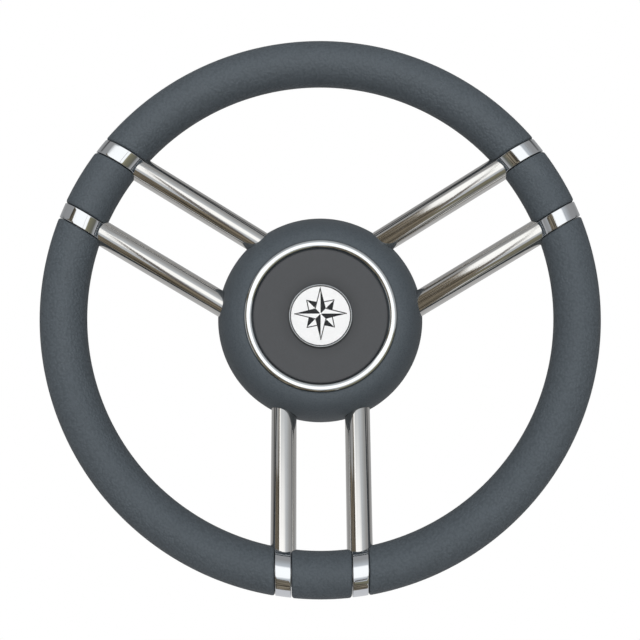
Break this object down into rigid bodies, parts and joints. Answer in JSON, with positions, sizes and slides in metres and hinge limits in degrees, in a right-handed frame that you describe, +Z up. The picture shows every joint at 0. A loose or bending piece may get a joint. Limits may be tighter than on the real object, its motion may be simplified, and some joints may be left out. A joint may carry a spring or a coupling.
{
  "type": "boat steering wheel",
  "caption": "Boat steering wheel with a moulded grey rim and hub, paired mirror-polished tube spokes, steel bands, a chrome-ringed cap with a compass rose and a tapered bore.",
  "frame": {"origin": "centre of the tapered shaft bore's mouth, in the plane of the hub's rear face", "axes": "+Y along the wheel's axis towards the dash, so the helmsman looks along +Y; +Z up, through the middle of the top grip; +X to the helmsman's right"},
  "size_m": [0.35, 0.0786, 0.35],
  "materials": {
    "grip_polyurethane": "self-skinned polyurethane with a fine leather grain, satin",
    "hub_polyurethane": "self-skinned polyurethane with a fine leather grain, satin",
    "mirror_steel": "stainless steel, mirror polished",
    "plain_steel": "stainless steel as turned or drawn, unpolished",
    "screw_steel": "stainless steel, plain",
    "chrome_trim": "bright chrome",
    "cap_plastic": "dark grey moulded plastic with a fine grain, matt",
    "black_plastic": "black moulded plastic, matt",
    "white_enamel": "white, glossy",
    "black_print": "black print, glossy"
  },
  "bodies": {
    "root": {"band_bottom_1": "mirror_steel", "band_bottom_2": "mirror_steel", "band_left_1": "mirror_steel", "band_left_2": "mirror_steel", "band_right_1": "mirror_steel", "band_right_2": "mirror_steel", "centre_cap": "cap_plastic", "compass_rose": "black_print", "emblem_bezel": "chrome_trim", "emblem_face": "white_enamel", "hub_drum": "plain_steel", "hub_shell": "hub_polyurethane", "long_grip_left": "grip_polyurethane", "long_grip_right": "grip_polyurethane", "long_grip_top": "grip_polyurethane", "rear_cover": "black_plastic", "rear_cover_screws": "screw_steel", "rim_core": "plain_steel", "short_grip_bottom": "grip_polyurethane", "short_grip_left": "grip_polyurethane", "short_grip_right": "grip_polyurethane", "spoke_bottom_1": "mirror_steel", "spoke_bottom_2": "mirror_steel", "spoke_left_1": "mirror_steel", "spoke_left_2": "mirror_steel", "spoke_right_1": "mirror_steel", "spoke_right_2": "mirror_steel", "taper_bush": "plain_steel", "trim_ring": "chrome_trim"}
  },
  "joints": []
}
